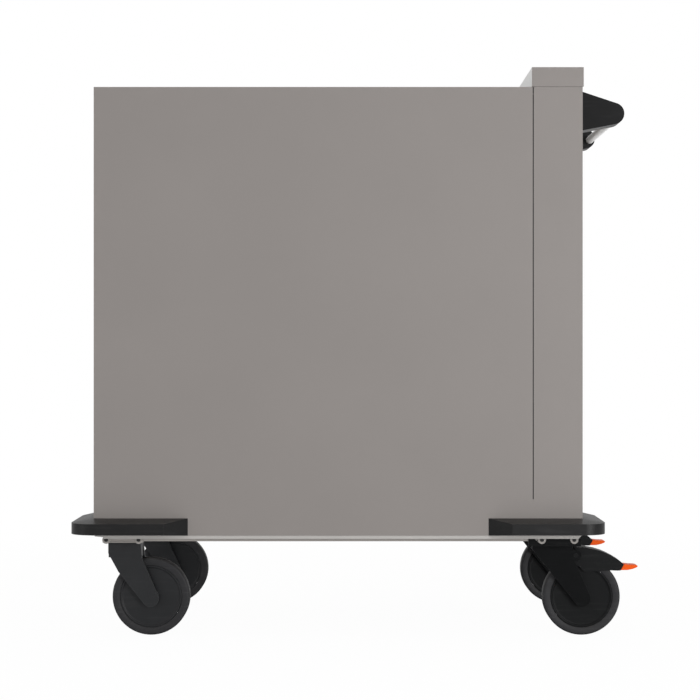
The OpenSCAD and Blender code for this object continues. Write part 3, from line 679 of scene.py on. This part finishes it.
rivet_radius = 0.0032
rivet_height = 0.0009
rivet_rows = 7
rivet_row_pitch = 0.118
lowest_rivet_z = 0.27
rivet_y = 0.258
front_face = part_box("front_end_panel")[0]
push_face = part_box("push_end_panel")[1]
rivet_points = []
for row in range(rivet_rows):
    z = lowest_rivet_z + row * rivet_row_pitch
    for y in (-rivet_y, rivet_y):
        rivet_points.append(((front_face.x, y, z), (-1, 0, 0)))
        rivet_points.append(((push_face.x, y, z), (1, 0, 0)))
rivets = screw_heads(
    "end_panel_rivets", rivet_points, rivet_radius, rivet_height, socket=0.4, metal=body_paint
)
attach(rivets, "cart_body")

finished("body_screws", zinc, radius=0.0003)


# ---- Push handle ----
# Two black moulded brackets screwed to the push end, and between them a satin anodised
# aluminium tube whose ends sit in their sockets.
def anodised(name, colour):
    """Satin anodised tube with faint drawing lines along it."""
    material = bpy.data.materials.new(name)
    tree, shader, bump = surface_shader(material, bump_depth=0.00001)
    lines = noise_on_surface(tree, size=0.0009, detail=3.0, stretch=(1.0, 0.02, 1.0))
    touched = noise_on_surface(tree, size=0.05, detail=3.0)
    base = shader_nodes(tree)("RGB")
    base.outputs[0].default_value = colour
    light = ranged(tree, lines, 0.95, 1.05)
    tree.links.new(shaded(tree, base.outputs[0], light), shader.inputs["Base Color"])
    tree.links.new(ranged(tree, touched, 0.28, 0.4), shader.inputs["Roughness"])
    tree.links.new(lines, bump.inputs["Height"])
    return material


bracket_black = moulding(
    "bracket plastic", paint(15, 15, 16), gloss_loss=0.36, scuffs=0.04, specular=0.16, wear_and_highlight=0.04,
    dust=0.02,
)
for node in ("near_handle_bracket", "far_handle_bracket"):
    finished(node, bracket_black, radius=0.0022, steps=4)
tube_metal = anodised("anodised tube", paint(248, 248, 246))
finished("push_bar", tube_metal, radius=0.0004)


# ---- Console lid ----
# A folded cap in body colour over the console. A long zinc-plated hinge under its
# push-end skirt lets it swing open over the push bar.
finished("console_lid", body_paint, radius=0.0007)
finished("lid_hinge_flap", zinc, radius=0.0003)
finished("hinge_pins", zinc, radius=0.0003)


# ---- Doors ----
# Two folded pan doors in body colour on zinc-plated barrel hinges, whose plates are screwed
# to the door and to the frame. Each door has a black bow pull and a cam lock.
hinge_screw_radius = 0.0034
hinge_screw_height = 0.0012
hinge_plate_thickness = 0.002
outer_screw_inset = 0.012
inner_screw_inset = 0.048


def hinge_screws(name, flap_node, body, plate_x):
    """Four screw heads on the hinge plates of one door, or of its side of the frame."""
    low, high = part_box(flap_node)
    heights = (
        low.z + outer_screw_inset, low.z + inner_screw_inset,
        high.z - inner_screw_inset, high.z - outer_screw_inset,
    )
    face_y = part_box("door_side_frame")[1].y + hinge_plate_thickness
    points = [((plate_x, face_y, z), (0, 1, 0)) for z in heights]
    heads = screw_heads(name, points, hinge_screw_radius, hinge_screw_height, socket=0.5)
    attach(heads, body)


lock_metal = zinc_plate("lock metal", paint(202, 202, 204))
hinge_line = {"front": -0.4745, "push": 0.308}
screw_offset = 0.0173
for end, inward in (("front", 1), ("push", -1)):
    flap_node = end + "_door_hinge_flaps"
    finished(end + "_door", body_paint, radius=0.0007)
    finished(flap_node, zinc, radius=0.0003)
    finished(end + "_door_pull", bracket_black, radius=0.0006)
    finished(end + "_lock_barrel", lock_metal, radius=0.0003)
    finished(end + "_lock_cam", lock_metal, radius=0.0003)
    door_plate_x = hinge_line[end] + inward * screw_offset
    frame_plate_x = hinge_line[end] - inward * screw_offset
    hinge_screws(end + "_door_hinge_screws", flap_node, end + "_door_leaf", door_plate_x)
    hinge_screws(end + "_frame_hinge_screws", flap_node, "cart_body", frame_plate_x)
finished("hinge_leaves", zinc, radius=0.0003)


# ---- Caster plates and their screws ----
# Saddle plates under the rails in the rails' paint, each with four upright ears that
# black cap screws clamp to the rail's sides.
ear_x = 0.031
ear_z = 0.1891
ear_out = 0.0555
saddle_screw_radius = 0.0036
saddle_screw_height = 0.0032
corners = [(side, end) for end in ("front", "push") for side in ("near", "far")]
saddle_points = []
for side, end in corners:
    node = f"{side}_{end}_caster_plate"
    finished(node, rail_paint, radius=0.0004)
    low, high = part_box(node)
    centre = (low + high) / 2
    for x in (centre.x - ear_x, centre.x + ear_x):
        saddle_points.append(((x, centre.y - ear_out, ear_z), (0, -1, 0)))
        saddle_points.append(((x, centre.y + ear_out, ear_z), (0, 1, 0)))
black_oxide = moulding(
    "black oxide", paint(26, 26, 27), gloss_loss=0.34, scuffs=0.0, specular=0.3, wear_and_highlight=0.1,
    dust=0.04,
)
saddle_screws = screw_heads(
    "saddle_screws", saddle_points, saddle_screw_radius, saddle_screw_height, socket=0.5,
    metal=black_oxide,
)
fit(saddle_screws, black_oxide, "caster_screws")


# ---- Casters ----
# Four swivel casters, each a moulded fork with two straps down to the axle, a disc wheel of
# the same plastic and a grey rubber tyre. The two braked ones have black covers beside their
# plates, and their forks, discs and covers take darker copies of the plastics: painted shade.
# The forks' edges carry a painted highlight.
def turned(name, outline, centre, steps=128):
    """Closed outline of (radius, offset across) points turned about a line along Y."""
    mesh = bpy.data.meshes.new(name)
    shape = bmesh.new()
    rings = []
    for step in range(steps):
        angle = 2 * math.pi * step / steps
        rings.append([
            shape.verts.new((
                centre[0] + radius * math.cos(angle),
                centre[1] + across,
                centre[2] + radius * math.sin(angle),
            ))
            for radius, across in outline
        ])
    for step in range(steps):
        here, after = rings[step], rings[(step + 1) % steps]
        for index in range(len(outline)):
            following = (index + 1) % len(outline)
            shape.faces.new((here[index], here[following], after[following], after[index]))
    bmesh.ops.recalc_face_normals(shape, faces=shape.faces)
    shape.to_mesh(mesh)
    shape.free()
    for face in mesh.polygons:
        face.use_smooth = True
    piece = bpy.data.objects.new(name, mesh)
    bpy.context.scene.collection.objects.link(piece)
    return piece


def both_faces(half_outline):
    """Outline for both faces of a wheel from that of one face, bore first."""
    mirrored = [(radius, -across) for radius, across in reversed(half_outline)]
    return half_outline + mirrored


def arc(centre_radius, centre_across, size, start, stop, steps):
    """Points of a rounded corner, angles in degrees from the outward direction."""
    points = []
    for step in range(steps + 1):
        angle = math.radians(start + (stop - start) * step / steps)
        points.append((
            centre_radius + size * math.cos(angle), centre_across + size * math.sin(angle),
        ))
    return points


# On both fork plastics, wear and even paint an unbroken light band along the rounded edges: a
# painted highlight.
fork_charcoal = moulding(
    "fork plastic", paint(30, 31, 33), gloss_loss=0.38, scuffs=0.05, specular=0.26, wear_and_highlight=0.3,
    even=0.8, dust=0.04,
)
# Darker copy of the fork plastic for the braked casters: painted shade, the same plastic in less
# light.
shaded_fork_plastic = moulding(
    "fork plastic in painted shade", paint(11, 12, 13), gloss_loss=0.38, scuffs=0.04, specular=0.06,
    wear_and_highlight=0.1, even=0.6, dust=0.02,
)
disc_charcoal = moulding(
    "disc plastic", paint(28, 29, 31), gloss_loss=0.42, scuffs=0.06, specular=0.24, wear_and_highlight=0.06,
    dust=0.04,
)
# Darker copy of the disc plastic for the braked casters and the pedals: painted shade, the same
# plastic in less light.
shaded_disc_and_pedal_plastic = moulding(
    "disc and pedal plastic in painted shade", paint(16, 17, 18), gloss_loss=0.42, scuffs=0.05,
    specular=0.1, wear_and_highlight=0.05, dust=0.02,
)
tread_grey = moulding(
    "tyre rubber", paint(40, 40, 42), gloss_loss=0.55, scuffs=0.2, specular=0.2, wear_and_highlight=0.04,
    dust=0.1,
)
# The covers take the darker fork copy: painted shade.
finished("caster_covers", shaded_fork_plastic, radius=0.0004)
bore_radius = 0.00605
disc_radius = 0.06
disc_face = both_faces(
    [(bore_radius, 0.017), (0.0125, 0.017)]
    + arc(0.0125, 0.0162, size=0.0008, start=90, stop=0, steps=3)
    + [(0.0136, 0.0128), (0.0142, 0.0122), (0.0152, 0.012), (0.017, 0.012), (0.052, 0.012)]
    + [(0.0545, 0.0121), (0.0556, 0.0125), (0.0562, 0.0134), (0.057, 0.0138), (0.0578, 0.0138)]
    + arc(0.0591, 0.0131, size=0.0007, start=90, stop=0, steps=3)
)
tyre_face = both_faces(
    [(disc_radius, 0.0138), (0.0615, 0.0149)]
    + arc(0.0702, 0.0102, size=0.0048, start=90, stop=22, steps=7)
)
for side, end in corners:
    corner = f"{side}_{end}"
    # The braked casters take the darker copies of the plastics: painted shade.
    fork_plastic, disc_plastic = (
        (shaded_fork_plastic, shaded_disc_and_pedal_plastic) if end == "push" else (fork_charcoal, disc_charcoal)
    )
    low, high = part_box(corner + "_wheel")
    centre = (low + high) / 2
    finished(corner + "_fork", fork_plastic, radius=0.0022, steps=4)
    disc = turned(corner + "_wheel_turned", disc_face, centre)
    fit(disc, disc_plastic, corner + "_wheel")
    tyre = turned(corner + "_tyre_turned", tyre_face, centre)
    fit(tyre, tread_grey, corner + "_tyre")
    finished(corner + "_axle", zinc, radius=0.0004)


# ---- Brake pedals ----
# Black moulded hoods over the push-end wheels, hinged between the fork's straps, each
# with a bright orange tip to find with the foot.
pedal_orange = moulding(
    "orange tip", paint(228, 86, 16), gloss_loss=0.4, scuffs=0.0, specular=0.1, wear_and_highlight=0.0, dust=0.0
)
for side in ("near", "far"):
    # The hoods take the darker disc copy: painted shade.
    finished(side + "_push_pedal", shaded_disc_and_pedal_plastic, radius=0.0009)
    finished(side + "_push_pedal_tip", pedal_orange, radius=0.0012)
